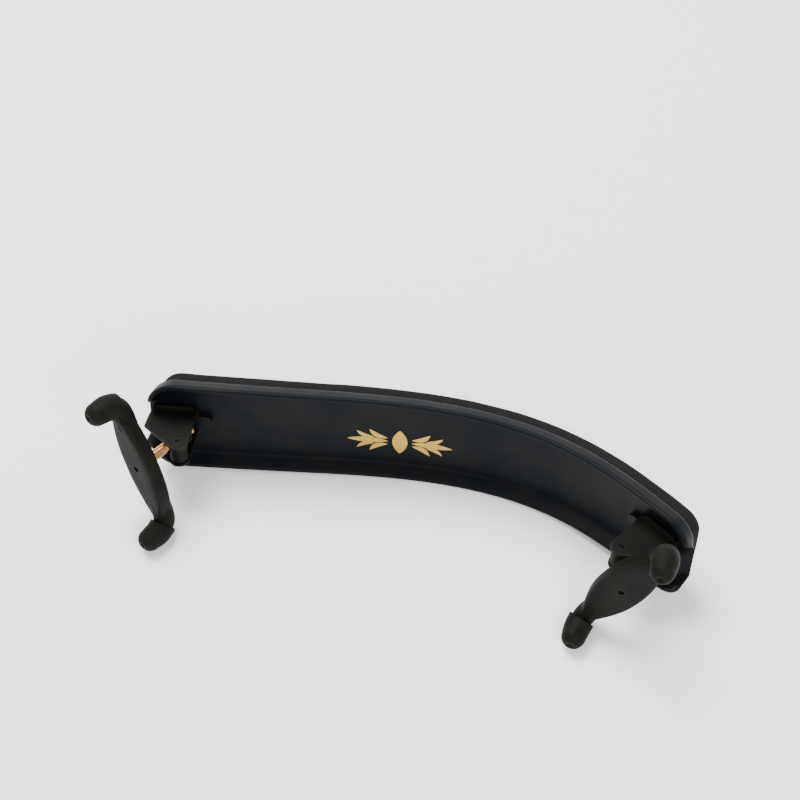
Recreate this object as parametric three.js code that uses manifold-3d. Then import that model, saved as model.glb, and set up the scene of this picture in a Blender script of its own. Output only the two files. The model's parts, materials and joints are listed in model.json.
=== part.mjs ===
// Violin shoulder rest with folding, screw-adjusted feet. Millimetres, +Z up.
// The rest lies on its long edge: both lower claws and the tray's lower edge touch the ground plane.
import * as THREE from 'three';
import Module from 'manifold-3d';
import { mergeVertices } from 'three/addons/utils/BufferGeometryUtils.js';

const wasm = await Module();
wasm.setup();

const DEG = Math.PI / 180;
const GAP = 0.3;                      // play between neighbouring pieces
const HOLE_PLAY = 0.2;                // play round a screw in its hole
const LEAST_CORNER = 0.5;             // the tightest corner of a plate's outline

// The bow: a strip bent over the shoulder. Curvature runs linearly between evenly spaced stations,
// from the chest end, which is nearly straight, to the shoulder end, which is well curved.
const BOW_LENGTH = 248;
const BOW_START = -12.9 * DEG;
const BOW_CURVATURE = [-0.0002, -0.0004, 0.0041, 0.0083, 0.0008];
const BOW_STEP = 1;
const CHEST_END = -124;               // the tray's ends, along the bow from its middle
const SHOULDER_END = 131;

// The moulded tray: a flat floor with a flared rim that dips to a mouth at each end.
const CHEST_WIDTH = 53.5;
const SHOULDER_WIDTH = 46.3;
const CHEST_DROP = 2.25;              // how far the strip's middle lies below the feet, at each end
const SHOULDER_DROP = 1.5;
const SHELL = 2.6;
const RIM_HEIGHT = 5.6;
const RIM_RUN = 4;
const CORNER_RADIUS = 13;
const MOUTH_HALF = 11.5;              // to the middle of the rim's slope, either side of the mouth
const MOUTH_SLOPE = 5;
const PLATE_ROWS = 22;
const CORNER_STEPS = 5;
const END_STEPS = 14;

// The tray's section, from the floor's edge over the rim to its back: [in from the edge, up from the floor].
const TRAY_SECTION = [
  [RIM_RUN + 1.6, 0],
  [RIM_RUN + 0.5, 0.35],
  [2.7, RIM_HEIGHT - 0.9],
  [1.5, RIM_HEIGHT],
  [0.5, RIM_HEIGHT - 0.3],
  [0, RIM_HEIGHT - 1.3],
  [1.9, -0.6],
  [RIM_RUN - 0.4, -SHELL + 0.5],
  [RIM_RUN + 1.2, -SHELL],
];

// The foam pad on the back of the tray.
const PAD_INSET = 5.2;
const PAD_THICKNESS = 7;
const PAD_CORNER = 9;
const PAD_ROUND = 3;
const PAD_CROWN = 0.8;
const PAD_FRONT = -SHELL - GAP;
const PAD_BACK = PAD_FRONT - PAD_THICKNESS;

// The pad's section, from its front to its back: [in from its edge, up from the tray's floor].
const PAD_SECTION = [
  [PAD_ROUND + 1, PAD_FRONT],
  [0, PAD_FRONT],
  [0, PAD_BACK + PAD_ROUND],
  [PAD_ROUND * 0.3, PAD_BACK + PAD_ROUND * 0.3],
  [PAD_ROUND, PAD_BACK],
  [PAD_ROUND * 3, PAD_BACK - PAD_CROWN],
];

// A foot's own axes: x outward along the plate, y across it, z up from the tray's floor.
const FOOT_PLACE = 110;               // from the bow's middle, either way
const SLIDE_INWARD = 5;
const SLIDE_OUTWARD = 3;
const PIN = { x: -1.7, z: 20, radius: 1, bore: 0.45, bossGap: 0.25 };
const SOLE = { from: -8, to: 12.5, half: 7.8, low: 0.4, high: 2.3, corner: 3 };
const SOLE_MIDDLE = (SOLE.low + SOLE.high) / 2;
const CHEEK = {
  inner: 4.75,
  thickness: 1.75,
  round: 4.6,
  footIn: -7.6,
  footOut: 12.4,
  outer: 14.4,
  outerTop: 12.4,
};
const CROWN = { from: 62 * DEG, to: 176 * DEG };
const PIN_SUNK = 0.35;
const KEY = { from: -8.4, to: 1.4, half: 2.8 };
const SHOE = { from: -11, to: 4, half: 6, thickness: 1.6 };
const SHOE_SCREW = { x: -3.5, shank: 1.1, head: 2.2, headHeight: 1.1, rounding: 0.7, length: 4.6, cover: 0.6 };
const POCKET = { ends: 0.6, sides: 0.8, depth: 1.2 };

// The swinging bracket, and the screw it carries. Distances along the screw count from the pin.
const SCREW_OFFSET = 5.4;
const BARREL_RADIUS = 4;
const NECK = { half: 3.85, low: -3.6, high: 0.55 };
const WEB = { from: 1.2, half: 1.6, low: -7.9 };
const BOSS = { top: 1.2, bottom: -9.4, radius: 4.4 };
const INSERT = { top: 0.7, bottom: -8.2, radius: 3.35, play: 0.15 };
const SCREW = { radius: 2.4, bore: 2.6, tail: -12.5, chamfer: 0.7 };
const SCREW_SIDES = 20;

// The fork: a lens-shaped bar with a claw at each end, over the edge of the violin.
// Its own axes: y along the bar, z out of its front face, which is at z = 0.
const FORK = {
  halfBar: 26.4,
  halfWidth: 9.6,
  endHalf: 3.6,
  thickness: 7.3,
  bevel: 1.4,
  hub: 5.2,
  hubHeight: 1.2,
};
const SOCKET_DEPTH = 5.6;
const RECESS = { radius: 1.5, depth: 0.9 };
const ARM_RADIUS = 4.6;
const ARM_PATH = [[20, -4.3], [26, -4.2], [30.8, -2.9], [33.4, 1.3], [34, 6.8]];
const ARM_STEPS = 8;
const SLEEVE = { wall: 1.2, play: 0.15, start: 0.56, steps: 6 };
const TUBE_SIDES = 12;

// How each foot is set: splay of the screw, turn of the fork, and how far its face stands out.
const FEET = [
  { name: 'left', end: -1, splay: 38.2 * DEG, turn: 21.7 * DEG, reach: 19.9 },
  { name: 'right', end: 1, splay: 27.2 * DEG, turn: -27.2 * DEG, reach: 18.2 },
];

// The lie on its edge: both lower claws and the tray's lower edge touch the ground.
const LEAN = 9.37 * DEG;

const material = (color, roughness, metalness) =>
  new THREE.MeshStandardMaterial({ color, roughness, metalness });
const TRAY_PLASTIC = material(0x15171b, 0.55, 0);
const FOOT_PLASTIC = material(0x1d1c1b, 0.6, 0);
const FOAM = material(0x101214, 0.95, 0);
const RUBBER = material(0x141312, 0.75, 0);
const BRASS = material(0xb88c5e, 0.3, 1);
const STEEL = material(0x8f9194, 0.35, 1);

// ---- solids ----

function toSolid(geometry) {
  const plain = geometry.index ? geometry.toNonIndexed() : geometry.clone();
  plain.deleteAttribute('normal');
  plain.deleteAttribute('uv');
  const merged = mergeVertices(plain, 1e-4);
  const mesh = new wasm.Mesh({
    numProp: 3,
    vertProperties: Float32Array.from(merged.attributes.position.array),
    triVerts: Uint32Array.from(merged.index.array),
  });
  return new wasm.Manifold(mesh);
}

function toGeometry(solid) {
  const mesh = solid.getMesh();
  const geometry = new THREE.BufferGeometry();
  geometry.setAttribute('position', new THREE.BufferAttribute(Float32Array.from(mesh.vertProperties), 3));
  geometry.setIndex(new THREE.BufferAttribute(Uint32Array.from(mesh.triVerts), 1));
  return geometry;
}

// ---- the bow ----

// Tangent angle and place of the bow line at each step from the chest end, with the middle at zero.
function makeBow() {
  const rows = [{ angle: BOW_START, x: 0, z: 0 }];
  const count = Math.round(BOW_LENGTH / BOW_STEP);
  const spans = BOW_CURVATURE.length - 1;
  for (let i = 1; i <= count; i += 1) {
    const place = ((i - 0.5) / count) * spans;
    const span = Math.min(Math.floor(place), spans - 1);
    const bend = THREE.MathUtils.lerp(BOW_CURVATURE[span], BOW_CURVATURE[span + 1], place - span);
    const last = rows[i - 1];
    const middle = last.angle + (bend * BOW_STEP) / 2;
    rows.push({
      angle: last.angle + bend * BOW_STEP,
      x: last.x + Math.cos(middle) * BOW_STEP,
      z: last.z + Math.sin(middle) * BOW_STEP,
    });
  }
  const centre = rows[Math.round(count / 2)];
  return rows.map((row) => ({ angle: row.angle, x: row.x - centre.x, z: row.z - centre.z }));
}
const BOW = makeBow();

// The bow line's row at distance s from the middle; past an end it runs on straight.
function bowAt(s) {
  const place = (s + BOW_LENGTH / 2) / BOW_STEP;
  const low = THREE.MathUtils.clamp(Math.floor(place), 0, BOW.length - 2);
  const a = BOW[low];
  const b = BOW[low + 1];
  const t = place - low;
  return {
    angle: THREE.MathUtils.lerp(a.angle, b.angle, THREE.MathUtils.clamp(t, 0, 1)),
    x: THREE.MathUtils.lerp(a.x, b.x, t),
    z: THREE.MathUtils.lerp(a.z, b.z, t),
  };
}

// A point at s along the bow, y across it, n above the tray's floor.
function bent(s, y, n) {
  const row = bowAt(s);
  return [row.x - n * Math.sin(row.angle), y, row.z + n * Math.cos(row.angle)];
}

// ---- bent trays and pads ----

function halfWidthAt(s) {
  return THREE.MathUtils.mapLinear(s, CHEST_END, SHOULDER_END, CHEST_WIDTH, SHOULDER_WIDTH) / 2;
}

function dropAt(s) {
  return THREE.MathUtils.mapLinear(s, CHEST_END, SHOULDER_END, CHEST_DROP, SHOULDER_DROP);
}

// One turn round a strip with rounded corners, whose edge lies `inset` inside the tray's edge:
// along the upper side, down the far end, back along the lower side and up the near end.
function stripRing(inset, corner) {
  const radius = Math.max(corner, LEAST_CORNER);
  const from = CHEST_END + inset + radius;
  const to = SHOULDER_END - inset - radius;
  const cornerPoint = (end, k) => {
    const angle = (k / CORNER_STEPS) * (Math.PI / 2);
    const start = end < 0 ? from : to;
    const drop = radius * (1 - Math.cos(angle));
    return [start + end * radius * Math.sin(angle), halfWidthAt(start) - inset - drop];
  };
  const upper = [];
  for (let k = CORNER_STEPS; k > 0; k -= 1) {
    upper.push(cornerPoint(-1, k));
  }
  for (let i = 0; i <= PLATE_ROWS; i += 1) {
    const s = THREE.MathUtils.lerp(from, to, i / PLATE_ROWS);
    upper.push([s, halfWidthAt(s) - inset]);
  }
  for (let k = 1; k <= CORNER_STEPS; k += 1) {
    upper.push(cornerPoint(1, k));
  }
  const lower = upper.map(([s, y]) => [s, -y]).reverse();
  const across = (a, b) => {
    const run = [];
    for (let k = 1; k < END_STEPS; k += 1) {
      run.push([a[0], THREE.MathUtils.lerp(a[1], b[1], k / END_STEPS)]);
    }
    return run;
  };
  const far = across(upper[upper.length - 1], lower[0]);
  const near = across(lower[lower.length - 1], upper[0]);
  return [...upper, ...far, ...lower, ...near];
}

// Closes a ring with rungs from its upper to its lower side, and a fan at each end.
function ringLid(first, last, size, facesBack) {
  const side = PLATE_ROWS + 1 + 2 * CORNER_STEPS;
  const mirror = (i) => 2 * side + END_STEPS - 2 - i;
  const faces = [];
  for (let i = 1; i < side - 2; i += 1) {
    faces.push([i, i + 1, mirror(i + 1)], [i, mirror(i + 1), mirror(i)]);
  }
  const fan = (apex, chain) => chain.slice(1).forEach((b, k) => faces.push([apex, chain[k], b]));
  const run = (from) => Array.from({ length: END_STEPS + 1 }, (_, k) => (from + k) % size);
  fan(side - 2, [...run(side - 1), mirror(side - 2)]);
  fan(1, [mirror(1), ...run(mirror(0))]);
  return faces.map(([a, b, c]) => (facesBack ? [a, b, c] : [a, c, b]).map((k) => k + first));
}

// A closed body skinned over bent rings, from the ring on its front to the ring on its back.
function skin(rings) {
  const size = rings[0].length;
  const triangles = [];
  rings.slice(1).forEach((_, r) => {
    for (let i = 0; i < size; i += 1) {
      const a = r * size + i;
      const b = r * size + ((i + 1) % size);
      triangles.push([a, b, b + size], [a, b + size, a + size]);
    }
  });
  triangles.push(...ringLid(0, 0, size, false));
  triangles.push(...ringLid((rings.length - 1) * size, 0, size, true));
  const geometry = new THREE.BufferGeometry();
  const positions = rings.flat().flatMap(([s, y, n]) => bent(s, y - dropAt(s), n));
  geometry.setAttribute('position', new THREE.Float32BufferAttribute(positions, 3));
  geometry.setIndex(triangles.flat());
  return toSolid(geometry);
}

// The rim stands at full height except in the mouth in the middle of each end.
function rimShare(s, y) {
  const atEnd = s < CHEST_END + CORNER_RADIUS || s > SHOULDER_END - CORNER_RADIUS;
  const inner = MOUTH_HALF - MOUTH_SLOPE / 2;
  const slope = THREE.MathUtils.smoothstep(Math.abs(y), inner, inner + MOUTH_SLOPE);
  return atEnd ? slope : 1;
}

function traySolid() {
  const rings = TRAY_SECTION.map(([inset, n]) =>
    stripRing(inset, CORNER_RADIUS - inset).map(([s, y]) => [s, y, n > 0 ? n * rimShare(s, y - dropAt(s)) : n]));
  return skin(rings);
}

function padSolid() {
  const rings = PAD_SECTION.map(([inset, n]) =>
    stripRing(PAD_INSET + inset, PAD_CORNER - inset).map(([s, y]) => [s, y, n]));
  return skin(rings);
}

// ---- shapes in a foot's own axes ----

function box(x, y, z) {
  const geometry = new THREE.BoxGeometry(x[1] - x[0], y[1] - y[0], z[1] - z[0]);
  return geometry.translate((x[0] + x[1]) / 2, (y[0] + y[1]) / 2, (z[0] + z[1]) / 2);
}

// A bar with round ends, along x.
function stadium(from, to, half, low, high) {
  const shape = new THREE.Shape();
  shape.absarc(to - half, 0, half, -Math.PI / 2, Math.PI / 2, false);
  shape.absarc(from + half, 0, half, Math.PI / 2, (3 * Math.PI) / 2, false);
  const options = { depth: high - low, bevelEnabled: false, curveSegments: 8 };
  const geometry = new THREE.ExtrudeGeometry(shape, options);
  return geometry.translate(0, 0, low);
}

// A plate with cut-off corners.
function chamferedPlate({ from, to, half, corner, low, high }) {
  const shape = new THREE.Shape();
  shape.moveTo(from + corner, -half);
  shape.lineTo(to - corner, -half);
  shape.lineTo(to, -half + corner);
  shape.lineTo(to, half - corner);
  shape.lineTo(to - corner, half);
  shape.lineTo(from + corner, half);
  shape.lineTo(from, half - corner);
  shape.lineTo(from, -half + corner);
  shape.closePath();
  const geometry = new THREE.ExtrudeGeometry(shape, { depth: high - low, bevelEnabled: false });
  return geometry.translate(0, 0, low);
}

function rod(radius, low, high, sides = 20) {
  const geometry = new THREE.CylinderGeometry(radius, radius, high - low, sides);
  return geometry.rotateX(Math.PI / 2).translate(0, 0, (low + high) / 2);
}

function crossRod(radius, half, sides = 20) {
  return new THREE.CylinderGeometry(radius, radius, 2 * half, sides);
}

// The outline of a tube, to be turned.
function tubeOutline(inner, outer, low, high) {
  return [[inner, low], [outer, low], [outer, high], [inner, high], [inner, low]];
}

// A ring or rod turned about z, from its [radius, height] outline.
function turned(outline, sides = SCREW_SIDES) {
  const points = outline.map(([r, z]) => new THREE.Vector2(r, z));
  return new THREE.LatheGeometry(points, sides).rotateX(Math.PI / 2);
}

function join(...geometries) {
  return geometries.map(toSolid).reduce((whole, next) => whole.add(next));
}

function cut(solid, ...geometries) {
  return geometries.map(toSolid).reduce((rest, tool) => rest.subtract(tool), solid);
}

// ---- the feet's pieces ----

function cheekGeometry(side) {
  const shape = new THREE.Shape();
  shape.moveTo(CHEEK.footIn, SOLE_MIDDLE);
  shape.lineTo(CHEEK.footOut, SOLE_MIDDLE);
  shape.lineTo(CHEEK.outer, CHEEK.outerTop);
  shape.absarc(PIN.x, PIN.z, CHEEK.round, CROWN.from, CROWN.to, false);
  shape.closePath();
  const options = { depth: CHEEK.thickness, bevelEnabled: false, curveSegments: 10 };
  const geometry = new THREE.ExtrudeGeometry(shape, options).rotateX(Math.PI / 2);
  const near = side > 0 ? CHEEK.inner + CHEEK.thickness : -CHEEK.inner;
  return geometry.translate(0, near, 0);
}

function baseSolid() {
  const whole = join(
    chamferedPlate(SOLE),
    cheekGeometry(1),
    cheekGeometry(-1),
    stadium(KEY.from, KEY.to, KEY.half, PAD_FRONT, SOLE_MIDDLE),
  );
  const pinHole = crossRod(PIN.radius + PIN.bossGap, 2 * SOLE.half).translate(PIN.x, 0, PIN.z);
  const screwHole = rod(SHOE_SCREW.shank + HOLE_PLAY, PAD_FRONT - 1, SOLE.high - SHOE_SCREW.cover);
  return cut(whole, pinHole, screwHole.translate(SHOE_SCREW.x, 0, 0));
}

function pinGeometry() {
  const half = CHEEK.inner + CHEEK.thickness - PIN_SUNK;
  return turned(tubeOutline(PIN.bore, PIN.radius, -half, half)).rotateX(-Math.PI / 2).translate(PIN.x, 0, PIN.z);
}

function shoeSolid() {
  const top = -SHELL - 2 * GAP;
  const plate = stadium(SHOE.from, SHOE.to, SHOE.half, top - SHOE.thickness, top);
  const hole = rod(SHOE_SCREW.shank + HOLE_PLAY, top - 2 * SHOE.thickness, top + 1);
  return cut(toSolid(plate), hole.translate(SHOE_SCREW.x, 0, 0));
}

function shoeScrewSolid() {
  const seat = -SHELL - 3 * GAP - SHOE.thickness;
  const outline = [
    [0, seat - SHOE_SCREW.headHeight],
    [SHOE_SCREW.head - SHOE_SCREW.rounding, seat - SHOE_SCREW.headHeight],
    [SHOE_SCREW.head, seat - SHOE_SCREW.headHeight + SHOE_SCREW.rounding],
    [SHOE_SCREW.head, seat],
    [SHOE_SCREW.shank, seat],
    [SHOE_SCREW.shank, seat + SHOE_SCREW.length],
    [0, seat + SHOE_SCREW.length],
  ];
  return toSolid(turned(outline, 16).translate(SHOE_SCREW.x, 0, 0));
}

// Bracket axes: the pin is at the origin, along y, and z runs along the screw.
function bracketSolid() {
  const half = CHEEK.inner - GAP;
  const whole = join(
    crossRod(BARREL_RADIUS, half, 24),
    rod(BOSS.radius, BOSS.bottom, BOSS.top, SCREW_SIDES).translate(SCREW_OFFSET, 0, 0),
    box([0, SCREW_OFFSET], [-NECK.half, NECK.half], [NECK.low, NECK.high]),
    box([WEB.from, SCREW_OFFSET], [-WEB.half, WEB.half], [WEB.low, 0]),
  );
  const insertHole = rod(INSERT.radius + INSERT.play, INSERT.bottom - INSERT.play, BOSS.top + GAP, SCREW_SIDES);
  const screwHole = rod(SCREW.bore + HOLE_PLAY, BOSS.bottom - 1, BARREL_RADIUS + 1, SCREW_SIDES);
  return cut(
    whole,
    crossRod(PIN.radius + PIN.bossGap, 2 * half),
    insertHole.translate(SCREW_OFFSET, 0, 0),
    screwHole.translate(SCREW_OFFSET, 0, 0),
  );
}

function insertGeometry() {
  return turned(tubeOutline(SCREW.bore, INSERT.radius, INSERT.bottom, INSERT.top));
}

function screwGeometry(reach) {
  const head = reach - FORK.thickness - FORK.hubHeight + SOCKET_DEPTH - GAP;
  const { radius, tail, chamfer } = SCREW;
  return turned([
    [0, tail],
    [radius - chamfer, tail],
    [radius, tail + chamfer],
    [radius, head],
    [0, head],
  ]);
}

// ---- the fork ----

function armCurve(end) {
  const points = ARM_PATH.map(([y, z]) => new THREE.Vector3(0, end * y, z));
  return new THREE.CatmullRomCurve3(points);
}

function tube(curve, radius, steps) {
  const section = new THREE.Shape();
  section.absarc(0, 0, radius, 0, 2 * Math.PI, false);
  return new THREE.ExtrudeGeometry(section, {
    extrudePath: curve,
    steps,
    curveSegments: TUBE_SIDES / 2,
    bevelEnabled: false,
  });
}

function ball(radius, place) {
  return new THREE.SphereGeometry(radius, TUBE_SIDES, TUBE_SIDES / 2).translate(place.x, place.y, place.z);
}

function barGeometry() {
  const { halfBar, halfWidth, endHalf, thickness, bevel } = FORK;
  const shape = new THREE.Shape();
  const w = halfWidth - bevel;
  const e = endHalf - bevel;
  const l = halfBar - bevel;
  shape.moveTo(e, -l);
  shape.bezierCurveTo(w * 0.9, -l * 0.55, w, -l * 0.3, w, 0);
  shape.bezierCurveTo(w, l * 0.3, w * 0.9, l * 0.55, e, l);
  shape.lineTo(-e, l);
  shape.bezierCurveTo(-w * 0.9, l * 0.55, -w, l * 0.3, -w, 0);
  shape.bezierCurveTo(-w, -l * 0.3, -w * 0.9, -l * 0.55, -e, -l);
  const options = {
    depth: thickness - 2 * bevel,
    bevelThickness: bevel,
    bevelSize: bevel,
    bevelSegments: 2,
    curveSegments: 8,
  };
  return new THREE.ExtrudeGeometry(shape, options).translate(0, 0, -thickness + bevel);
}

function forkSolid() {
  const back = -FORK.thickness - FORK.hubHeight;
  const whole = join(
    barGeometry(),
    rod(FORK.hub, back, -FORK.thickness / 2, SCREW_SIDES),
    tube(armCurve(1), ARM_RADIUS, ARM_STEPS),
    tube(armCurve(-1), ARM_RADIUS, ARM_STEPS),
  );
  return cut(
    whole,
    rod(SCREW.radius + GAP, back - 1, back + SOCKET_DEPTH, SCREW_SIDES),
    rod(RECESS.radius, -RECESS.depth, 1, 16),
  );
}

// The part of an arm's curve that its rubber sleeve covers.
class SleevePath extends THREE.Curve {
  constructor(arm, start) {
    super();
    this.arm = arm;
    this.start = start;
  }

  getPoint(t, target = new THREE.Vector3()) {
    return this.arm.getPoint(THREE.MathUtils.lerp(this.start, 1, t), target);
  }
}

function sleeveSolid(end) {
  const arm = armCurve(end);
  const tip = arm.getPoint(1);
  const outer = ARM_RADIUS + SLEEVE.wall;
  const inner = ARM_RADIUS + SLEEVE.play;
  const solid = join(tube(new SleevePath(arm, SLEEVE.start), outer, SLEEVE.steps), ball(outer, tip));
  return cut(solid, tube(new SleevePath(arm, SLEEVE.start - 0.2), inner, SLEEVE.steps), ball(inner, tip));
}

// ---- the assembly ----

function mesh(name, shape, look) {
  const geometry = shape.isBufferGeometry ? shape : toGeometry(shape);
  const piece = new THREE.Mesh(geometry, look);
  piece.name = name;
  return piece;
}

// The group that carries a foot: it stands on the tray's floor, x pointing out of the plate's end.
function footGroup(foot) {
  const s = foot.end * FOOT_PLACE;
  const row = bowAt(s);
  const up = new THREE.Vector3(-Math.sin(row.angle), 0, Math.cos(row.angle));
  const out = new THREE.Vector3(Math.cos(row.angle), 0, Math.sin(row.angle)).multiplyScalar(foot.end);
  const across = new THREE.Vector3().crossVectors(up, out);
  const group = new THREE.Group();
  group.setRotationFromMatrix(new THREE.Matrix4().makeBasis(out, across, up));
  group.position.set(...bent(s, 0, 0));
  group.updateMatrix();
  return group;
}

function slotTool(group) {
  const from = KEY.from - SLIDE_INWARD - GAP;
  const to = KEY.to + SLIDE_OUTWARD + GAP;
  const slot = stadium(from, to, KEY.half + GAP, -2 * SHELL, SHELL);
  return slot.applyMatrix4(group.matrix);
}

function pocketTool(group) {
  const floor = PAD_FRONT - SHOE.thickness - SHOE_SCREW.headHeight - POCKET.depth;
  const from = SHOE.from - SLIDE_INWARD - POCKET.ends;
  const to = SHOE.to + SLIDE_OUTWARD + POCKET.ends;
  const pocket = stadium(from, to, SHOE.half + POCKET.sides, floor, SHELL);
  return pocket.applyMatrix4(group.matrix);
}

function addFoot(group, foot) {
  const { name } = foot;
  group.add(mesh(`${name}_slide_base`, baseSolid(), FOOT_PLASTIC));
  group.add(mesh(`${name}_hinge_pin`, pinGeometry(), STEEL));
  group.add(mesh(`${name}_slide_shoe`, shoeSolid(), FOOT_PLASTIC));
  group.add(mesh(`${name}_shoe_screw`, shoeScrewSolid(), STEEL));

  const bracket = new THREE.Group();
  bracket.position.set(PIN.x, 0, PIN.z);
  bracket.rotation.y = foot.splay;
  bracket.add(mesh(`${name}_bracket`, bracketSolid(), FOOT_PLASTIC));
  group.add(bracket);

  const axis = new THREE.Group();
  axis.position.x = SCREW_OFFSET;
  axis.add(mesh(`${name}_threaded_insert`, insertGeometry(), BRASS));
  axis.add(mesh(`${name}_height_screw`, screwGeometry(foot.reach), BRASS));
  bracket.add(axis);

  const fork = new THREE.Group();
  fork.position.z = foot.reach;
  fork.rotation.z = foot.turn;
  fork.add(mesh(`${name}_fork`, forkSolid(), FOOT_PLASTIC));
  fork.add(mesh(`${name}_upper_sleeve`, sleeveSolid(foot.end), RUBBER));
  fork.add(mesh(`${name}_lower_sleeve`, sleeveSolid(-foot.end), RUBBER));
  axis.add(fork);
}

const rest = new THREE.Group();
const feet = FEET.map((foot) => ({ foot, group: footGroup(foot) }));
const slots = feet.map(({ group }) => slotTool(group));
const pockets = feet.map(({ group }) => pocketTool(group));
rest.add(mesh('tray', cut(traySolid(), ...slots), TRAY_PLASTIC));
rest.add(mesh('foam_pad', cut(padSolid(), ...pockets), FOAM));
feet.forEach(({ foot, group }) => {
  addFoot(group, foot);
  rest.add(group);
});

// Turn the rest onto its edge, and stand it centred on the origin.
rest.rotation.x = Math.PI / 2 - LEAN;
rest.updateMatrixWorld(true);
const bounds = new THREE.Box3().setFromObject(rest, true);
const whole = new THREE.Group();
whole.add(rest);
whole.position.set(-(bounds.min.x + bounds.max.x) / 2, -(bounds.min.y + bounds.max.y) / 2, -bounds.min.z);

export default whole;
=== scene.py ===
"""Looks of a violin shoulder rest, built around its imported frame.

The rest is a bowed moulded tray with a foam pad on its back. Each end carries a foot: a base that
slides in the tray, a bracket that folds on a roll pin, a brass screw, and a fork whose two claws
wear rubber sleeves. Sizes in the sections are millimetres, and the meshes are metres.
"""

import json
import math

import bmesh
import bpy
import numpy as np
from mathutils import Euler, Matrix


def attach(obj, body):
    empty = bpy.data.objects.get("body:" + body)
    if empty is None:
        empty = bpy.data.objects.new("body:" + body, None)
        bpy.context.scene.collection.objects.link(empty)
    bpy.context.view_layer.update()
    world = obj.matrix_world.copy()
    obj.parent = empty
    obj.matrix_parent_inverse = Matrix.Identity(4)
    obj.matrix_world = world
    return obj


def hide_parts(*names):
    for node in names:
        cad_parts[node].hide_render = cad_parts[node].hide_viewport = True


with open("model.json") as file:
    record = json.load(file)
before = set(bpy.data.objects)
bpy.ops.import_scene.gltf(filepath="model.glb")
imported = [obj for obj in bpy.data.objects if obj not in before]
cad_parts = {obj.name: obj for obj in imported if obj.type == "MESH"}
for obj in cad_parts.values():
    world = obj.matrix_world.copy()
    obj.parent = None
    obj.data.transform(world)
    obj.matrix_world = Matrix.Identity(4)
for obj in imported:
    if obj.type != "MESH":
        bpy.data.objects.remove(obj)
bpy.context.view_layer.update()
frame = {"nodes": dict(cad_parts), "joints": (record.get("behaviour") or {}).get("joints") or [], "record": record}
MM = 0.001


# ---- Where the pieces sit ----
# Each foot's own axes follow from its joints: it slides along the tray, folds about its pin, and
# climbs along its screw. A place is a 4x4 matrix in millimetres whose columns are x, y, z and origin.

JOINTS = {joint["name"]: joint for joint in frame["joints"]}
MOUNTS = {mount["name"]: mount for mount in frame["record"]["mounts"]}
SIDES = {"left": -1, "right": 1}
PIN_BACK, PIN_UP = -1.7, 20         # the pin's place in its foot: along the tray, and above its floor


def unit(vector):
    vector = np.asarray(vector, float)
    return vector / np.linalg.norm(vector)


def place(x, y, z, origin):
    matrix = np.eye(4)
    matrix[:3] = np.column_stack([x, y, z, origin])
    return matrix


def moved(points, where):
    """Points in a piece's own millimetres, taken to the object's frame in metres."""
    return (points @ where[:3, :3].T + where[:3, 3]) * MM


def foot_place(side):
    """x out of the tray's end, y across it, z up from its floor."""
    x = -unit(JOINTS[side + "_width"]["axis"])
    y = -unit(JOINTS[side + "_fold"]["axis"])
    z = np.cross(x, y)
    pin = np.array(JOINTS[side + "_fold"]["pos_m"]) / MM
    return place(x, y, z, pin - PIN_BACK * x - PIN_UP * z)


def bracket_place(side):
    """The pin is at the origin, along y, and z runs along the screw."""
    y = -unit(JOINTS[side + "_fold"]["axis"])
    z = unit(JOINTS[side + "_height"]["axis"])
    return place(np.cross(y, z), y, z, np.array(JOINTS[side + "_fold"]["pos_m"]) / MM)


def screw_place(side):
    where = bracket_place(side)
    where[:3, 3] = np.array(JOINTS[side + "_fork_turn"]["pos_m"]) / MM
    return where


def fork_place(side):
    """y along the fork's bar, z out of its front face."""
    screw = screw_place(side)
    z = screw[:3, 2]
    face = np.array(MOUNTS[side + "_fork_face"]["pos_m"]) / MM
    centre = screw[:3, 3] + z * ((face - screw[:3, 3]) @ z)
    y = unit(face - centre) * SIDES[side]
    return place(np.cross(y, z), y, z, centre)


# ---- The bow ----
# Tray and pad are bent over the shoulder: nearly straight at the chest end, well curved at the other.
# Curvature runs linearly between five stations along the floor's middle line.

BOW_LENGTH = 248
BOW_START = math.radians(-12.9)
BOW_CURVATURE = [-0.0002, -0.0004, 0.0041, 0.0083, 0.0008]
FOOT_PLACE = 110

bow_steps = np.arange(BOW_LENGTH)
bow_bend = np.interp(bow_steps + 0.5, np.linspace(0, BOW_LENGTH, 5), BOW_CURVATURE)
bow_arc = np.arange(BOW_LENGTH + 1) - BOW_LENGTH / 2
bow_angle = BOW_START + np.append(0, np.cumsum(bow_bend))
bow_x = np.append(0, np.cumsum(np.cos(bow_angle[:-1] + bow_bend / 2)))
bow_z = np.append(0, np.cumsum(np.sin(bow_angle[:-1] + bow_bend / 2)))
bow_x -= bow_x[BOW_LENGTH // 2]
bow_z -= bow_z[BOW_LENGTH // 2]


def bent(s, y, n):
    """A point s along the bow, y across it and n above the floor: the bow's point, moved n along its
    normal. Past an end the bow runs on straight."""
    angle = np.interp(s, bow_arc, bow_angle)
    beyond = s - np.clip(s, bow_arc[0], bow_arc[-1])
    x = np.interp(s, bow_arc, bow_x) + beyond * np.cos(angle) - n * np.sin(angle)
    z = np.interp(s, bow_arc, bow_z) + beyond * np.sin(angle) + n * np.cos(angle)
    return np.stack(np.broadcast_arrays(x, y, z), -1)


def rest_place():
    """The bow's own axes: x along it, y across it, z out of the hollow side."""
    foot = foot_place("left")
    y = -foot[:3, 1]
    x = unit(np.cross([0, 1, 0], y))
    z = np.cross(x, y)
    start = bent(-FOOT_PLACE, 0, 0)
    return place(x, y, z, foot[:3, 3] - np.column_stack([x, y, z]) @ start)


REST = rest_place()
FEET = {side: foot_place(side) for side in SIDES}
BRACKETS = {side: bracket_place(side) for side in SIDES}
SCREWS = {side: screw_place(side) for side in SIDES}
FORKS = {side: fork_place(side) for side in SIDES}


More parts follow.
